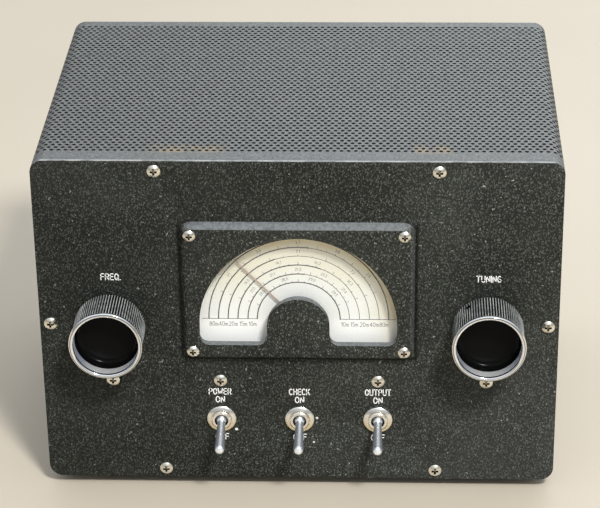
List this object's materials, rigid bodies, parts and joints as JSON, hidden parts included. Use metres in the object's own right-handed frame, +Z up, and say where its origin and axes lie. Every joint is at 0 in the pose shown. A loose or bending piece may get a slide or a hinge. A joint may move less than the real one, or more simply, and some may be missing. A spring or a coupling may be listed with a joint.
{
  "type": "vfo exciter",
  "caption": "Bench-top radio exciter: perforated steel cabinet, crackle panel with a half-round dial and pointer, fluted knobs with bright rings and bat-handle toggle switches.",
  "frame": {"origin": "on the floor under the middle of the overall box, feet down", "axes": "+X to the right seen from the front, +Y from the panel to the back, +Z up"},
  "size_m": [0.3, 0.2496, 0.214],
  "materials": {
    "crackle_black": "black crackle paint",
    "cover_grey": "satin dark grey paint",
    "nickel": "dulled nickel plate",
    "chrome_ring": "bright turned ring",
    "black_plastic": "glossy moulded black",
    "rubber": "matt",
    "ivory_card": "matt aged card",
    "clear_sheet": "clear sheet",
    "pointer_red": "thin red-brown enamel",
    "aluminium": "mill finish",
    "brass": "turned",
    "steel": "turned",
    "cord": "braided",
    "bakelite": "moulded brown",
    "tube_glass": "clear blown glass",
    "coil_ceramic": "unglazed",
    "copper": "enamelled copper wire",
    "core_iron": "varnished laminations",
    "coil_paper": "varnished paper"
  },
  "bodies": {
    "cabinet": {"front_panel": "crackle_black", "perforated_cover": "cover_grey", "front_lip": "cover_grey", "rear_lip": "cover_grey", "base_plate": "cover_grey", "rear_panel": "cover_grey", "rubber_feet": "rubber", "foot_screws": "nickel", "foot_nuts": "nickel", "panel_screws": "nickel", "chassis_screws": "nickel", "chassis_nuts": "nickel", "rear_screws": "nickel", "chassis": "aluminium", "dial_frame": "crackle_black", "dial_frame_screws": "nickel", "dial_window": "clear_sheet", "dial_card": "ivory_card", "dial_pillars": "nickel", "dial_back_plate": "aluminium", "dial_bush": "brass", "dial_cord": "cord", "panel_bushes": "brass", "bush_nuts": "nickel", "vfo_stator": "aluminium", "vfo_capacitor_frame": "aluminium", "tuning_stator": "aluminium", "tuning_capacitor_frame": "aluminium", "switch_bodies": "bakelite", "switch_bushings": "nickel", "switch_nuts": "nickel", "tube_sockets": "bakelite", "oscillator_tube": "tube_glass", "buffer_tube": "tube_glass", "output_tube": "tube_glass", "vfo_coil_former": "coil_ceramic", "vfo_coil_winding": "copper", "output_coil_former": "coil_ceramic", "output_coil_winding": "copper", "filter_capacitor": "aluminium", "transformer_core": "core_iron", "transformer_coil": "coil_paper", "output_socket": "nickel", "fuse_holder": "black_plastic", "cord_grommet": "rubber"},
    "freq_control": {"freq_knob": "black_plastic", "freq_ring": "chrome_ring", "freq_grub_screw": "steel", "drive_spindle": "steel"},
    "dial_works": {"dial_pointer": "pointer_red", "cord_drum": "aluminium", "vfo_rotor": "aluminium"},
    "tuning_control": {"tuning_knob": "black_plastic", "tuning_ring": "chrome_ring", "tuning_grub_screw": "steel", "tuning_rotor": "aluminium"},
    "power_switch": {"power_lever": "nickel"},
    "check_switch": {"check_lever": "nickel"},
    "output_switch": {"output_lever": "nickel"}
  },
  "joints": [
    {"name": "freq_turn", "type": "hinge", "parent": "cabinet", "child": "freq_control", "pos_m": [-0.109, -0.0972, 0.1098], "axis": [0, 1, 0], "range_deg": [-282, 798]},
    {"name": "dial_turn", "type": "hinge", "parent": "cabinet", "child": "dial_works", "pos_m": [0, -0.0947, 0.111], "axis": [0, 1, 0], "range_deg": [-47, 133]},
    {"name": "tuning_turn", "type": "hinge", "parent": "cabinet", "child": "tuning_control", "pos_m": [0.109, -0.0972, 0.1098], "axis": [0, 1, 0], "range_deg": [-90, 90]},
    {"name": "power_flip", "type": "hinge", "parent": "cabinet", "child": "power_switch", "pos_m": [-0.046, -0.0994, 0.047], "axis": [-1, 0, 0], "range_deg": [0, 38]},
    {"name": "check_flip", "type": "hinge", "parent": "cabinet", "child": "check_switch", "pos_m": [0, -0.0994, 0.047], "axis": [-1, 0, 0], "range_deg": [0, 38]},
    {"name": "output_flip", "type": "hinge", "parent": "cabinet", "child": "output_switch", "pos_m": [0.046, -0.0994, 0.047], "axis": [-1, 0, 0], "range_deg": [0, 38]}
  ],
  "couplings": [
    {"joint": "dial_turn", "follows": "freq_turn", "ratio": 0.16667}
  ]
}
